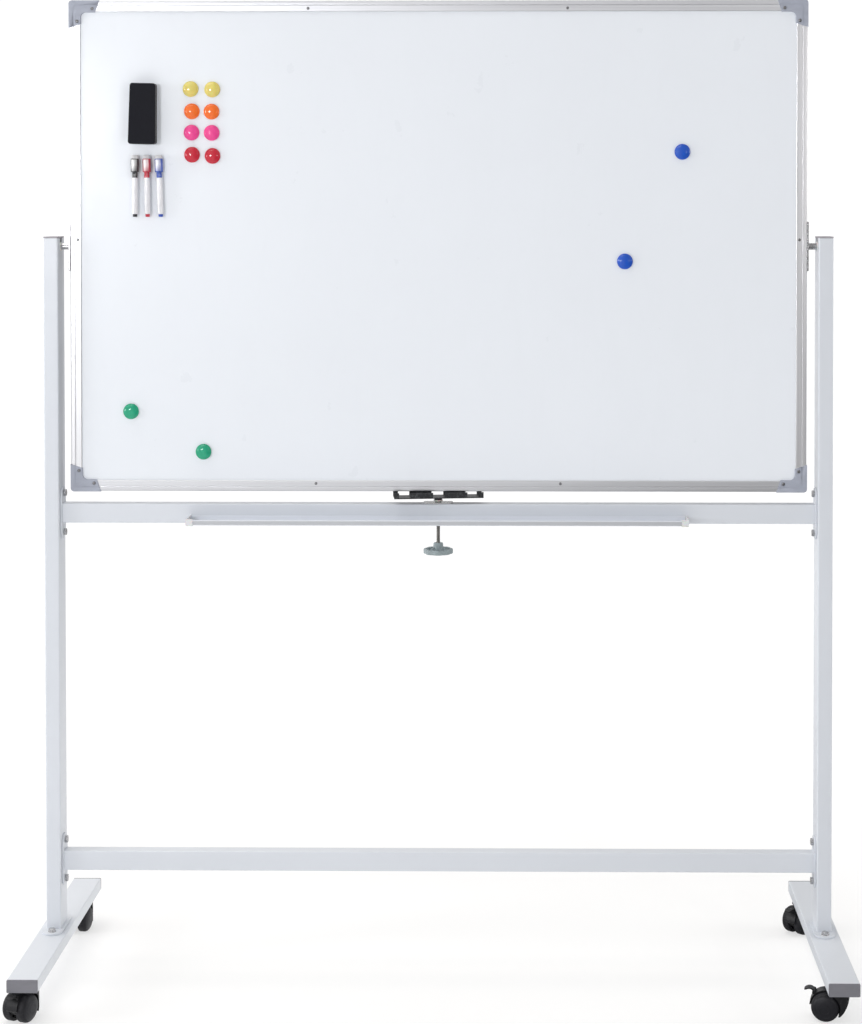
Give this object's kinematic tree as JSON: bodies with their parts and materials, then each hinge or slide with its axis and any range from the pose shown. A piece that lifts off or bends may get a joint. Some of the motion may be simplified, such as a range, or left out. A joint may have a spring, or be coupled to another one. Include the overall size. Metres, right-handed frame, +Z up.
{
  "type": "rolling whiteboard",
  "caption": "Double-sided magnetic whiteboard that turns over on side pivots in a white steel stand, with a pen tray, a screw clamp and braked swivel casters.",
  "frame": {"origin": "on the floor under the centre of the board", "axes": "+X along the board to the right as seen from the front, -Y out of the front face, +Z up"},
  "size_m": [1.6414, 0.6158, 1.9853],
  "materials": {
    "stand_paint": "satin white powder coat",
    "writing_face": "glossy white enamel",
    "board_core": "honeycomb board",
    "frame_aluminium": "satin anodised",
    "corner_cap_plastic": "fine texture",
    "tray_aluminium": "satin anodised",
    "tray_cap_plastic": "translucent white",
    "post_cap_plastic": "fine texture",
    "foot_cap_plastic": "fine texture",
    "zinc_plated_steel": "bright zinc plate",
    "jaw_paint": "black powder coat",
    "knob_plastic": "moulded",
    "caster_plastic": "moulded black",
    "wheel_tyre": "soft black",
    "bush_nylon": "natural nylon"
  },
  "bodies": {
    "stand": {"post_left": "stand_paint", "post_cap_left": "post_cap_plastic", "pivot_bush_left": "bush_nylon", "foot_left": "stand_paint", "foot_end_cap_front_left": "foot_cap_plastic", "foot_end_cap_rear_left": "foot_cap_plastic", "tray_end_cap_left": "tray_cap_plastic", "post_right": "stand_paint", "post_cap_right": "post_cap_plastic", "pivot_bush_right": "bush_nylon", "foot_right": "stand_paint", "foot_end_cap_front_right": "foot_cap_plastic", "foot_end_cap_rear_right": "foot_cap_plastic", "tray_end_cap_right": "tray_cap_plastic", "upper_crossbar": "stand_paint", "lower_crossbar": "stand_paint", "pen_tray": "tray_aluminium", "clamp_guide_plate": "zinc_plated_steel", "upper_crossbar_bolt_left_top": "zinc_plated_steel", "upper_crossbar_bolt_left_bottom": "zinc_plated_steel", "upper_crossbar_bolt_right_top": "zinc_plated_steel", "upper_crossbar_bolt_right_bottom": "zinc_plated_steel", "lower_crossbar_bolt_left_top": "zinc_plated_steel", "lower_crossbar_bolt_left_bottom": "zinc_plated_steel", "lower_crossbar_bolt_right_top": "zinc_plated_steel", "lower_crossbar_bolt_right_bottom": "zinc_plated_steel"},
    "board": {"writing_surface_front": "writing_face", "board_core": "board_core", "writing_surface_rear": "writing_face", "frame_rail_top": "frame_aluminium", "frame_rail_bottom": "frame_aluminium", "frame_rail_left": "frame_aluminium", "frame_rail_right": "frame_aluminium", "corner_cap_top_left": "corner_cap_plastic", "corner_cap_top_right": "corner_cap_plastic", "corner_cap_bottom_left": "corner_cap_plastic", "corner_cap_bottom_right": "corner_cap_plastic", "pivot_bracket_left": "zinc_plated_steel", "pivot_bracket_right": "zinc_plated_steel"},
    "clamp_carriage": {"clamp_thrust_washer": "bush_nylon"},
    "clamp_jaw_plate": {"clamp_jaw": "jaw_paint"},
    "clamp_screw": {"clamp_spindle": "zinc_plated_steel", "clamp_knob": "knob_plastic"},
    "caster_front_left": {"caster_housing_front_left": "caster_plastic"},
    "wheel_front_left_a": {"caster_wheel_front_left_a": "wheel_tyre"},
    "wheel_front_left_b": {"caster_wheel_front_left_b": "wheel_tyre"},
    "brake_front_left": {"brake_lever_front_left": "caster_plastic"},
    "caster_front_right": {"caster_housing_front_right": "caster_plastic"},
    "wheel_front_right_a": {"caster_wheel_front_right_a": "wheel_tyre"},
    "wheel_front_right_b": {"caster_wheel_front_right_b": "wheel_tyre"},
    "brake_front_right": {"brake_lever_front_right": "caster_plastic"},
    "caster_rear_left": {"caster_housing_rear_left": "caster_plastic"},
    "wheel_rear_left_a": {"caster_wheel_rear_left_a": "wheel_tyre"},
    "wheel_rear_left_b": {"caster_wheel_rear_left_b": "wheel_tyre"},
    "brake_rear_left": {"brake_lever_rear_left": "caster_plastic"},
    "caster_rear_right": {"caster_housing_rear_right": "caster_plastic"},
    "wheel_rear_right_a": {"caster_wheel_rear_right_a": "wheel_tyre"},
    "wheel_rear_right_b": {"caster_wheel_rear_right_b": "wheel_tyre"},
    "brake_rear_right": {"brake_lever_rear_right": "caster_plastic"}
  },
  "joints": [
    {"name": "board_flip", "type": "hinge", "parent": "stand", "child": "board", "pos_m": [0, 0, 1.485], "axis": [1, 0, 0], "continuous": true},
    {"name": "clamp_lift", "type": "slide", "parent": "stand", "child": "clamp_carriage", "axis": [0, 0, 1], "range_m": [0, 0.0104]},
    {"name": "knob_turn", "type": "hinge", "parent": "clamp_carriage", "child": "clamp_screw", "pos_m": [0, 0, 0.8576], "axis": [0, 0, 1], "range_deg": [0, 3000]},
    {"name": "jaw_swivel", "type": "hinge", "parent": "clamp_carriage", "child": "clamp_jaw_plate", "pos_m": [0, 0, 0.9729], "axis": [0, 0, 1], "continuous": true},
    {"name": "swivel_front_left", "type": "hinge", "parent": "stand", "child": "caster_front_left", "pos_m": [-0.785, -0.248, 0.063], "axis": [0, 0, 1], "continuous": true},
    {"name": "roll_front_left_a", "type": "hinge", "parent": "caster_front_left", "child": "wheel_front_left_a", "pos_m": [-0.79458, -0.27431, 0.02716], "axis": [0.9397, -0.342, 0], "continuous": true},
    {"name": "roll_front_left_b", "type": "hinge", "parent": "caster_front_left", "child": "wheel_front_left_b", "pos_m": [-0.79458, -0.27431, 0.02716], "axis": [0.9397, -0.342, 0], "continuous": true},
    {"name": "brake_press_front_left", "type": "hinge", "parent": "caster_front_left", "child": "brake_front_left", "pos_m": [-0.80217, -0.29517, 0.05196], "axis": [0.9397, -0.342, 0], "range_deg": [0, 20]},
    {"name": "swivel_front_right", "type": "hinge", "parent": "stand", "child": "caster_front_right", "pos_m": [0.785, -0.248, 0.063], "axis": [0, 0, 1], "continuous": true},
    {"name": "roll_front_right_a", "type": "hinge", "parent": "caster_front_right", "child": "wheel_front_right_a", "pos_m": [0.75761, -0.24218, 0.02716], "axis": [-0.2079, -0.9781, 0], "continuous": true},
    {"name": "roll_front_right_b", "type": "hinge", "parent": "caster_front_right", "child": "wheel_front_right_b", "pos_m": [0.75761, -0.24218, 0.02716], "axis": [-0.2079, -0.9781, 0], "continuous": true},
    {"name": "brake_press_front_right", "type": "hinge", "parent": "caster_front_right", "child": "brake_front_right", "pos_m": [0.7359, -0.23756, 0.05196], "axis": [-0.2079, -0.9781, 0], "range_deg": [0, 20]},
    {"name": "swivel_rear_left", "type": "hinge", "parent": "stand", "child": "caster_rear_left", "pos_m": [-0.785, 0.248, 0.063], "axis": [0, 0, 1], "continuous": true},
    {"name": "roll_rear_left_a", "type": "hinge", "parent": "caster_rear_left", "child": "wheel_rear_left_a", "pos_m": [-0.7889, 0.22027, 0.02716], "axis": [0.9903, -0.1392, 0], "continuous": true},
    {"name": "roll_rear_left_b", "type": "hinge", "parent": "caster_rear_left", "child": "wheel_rear_left_b", "pos_m": [-0.7889, 0.22027, 0.02716], "axis": [0.9903, -0.1392, 0], "continuous": true},
    {"name": "brake_press_rear_left", "type": "hinge", "parent": "caster_rear_left", "child": "brake_rear_left", "pos_m": [-0.79199, 0.19829, 0.05196], "axis": [0.9903, -0.1392, 0], "range_deg": [0, 20]},
    {"name": "swivel_rear_right", "type": "hinge", "parent": "stand", "child": "caster_rear_right", "pos_m": [0.785, 0.248, 0.063], "axis": [0, 0, 1], "continuous": true},
    {"name": "roll_rear_right_a", "type": "hinge", "parent": "caster_rear_right", "child": "wheel_rear_right_a", "pos_m": [0.76626, 0.22719, 0.02716], "axis": [0.7431, -0.6691, 0], "continuous": true},
    {"name": "roll_rear_right_b", "type": "hinge", "parent": "caster_rear_right", "child": "wheel_rear_right_b", "pos_m": [0.76626, 0.22719, 0.02716], "axis": [0.7431, -0.6691, 0], "continuous": true},
    {"name": "brake_press_rear_right", "type": "hinge", "parent": "caster_rear_right", "child": "brake_rear_right", "pos_m": [0.75141, 0.21069, 0.05196], "axis": [0.7431, -0.6691, 0], "range_deg": [0, 20]}
  ],
  "couplings": [
    {"joint": "knob_turn", "follows": "clamp_lift", "rad_per_m": 5026.5}
  ]
}
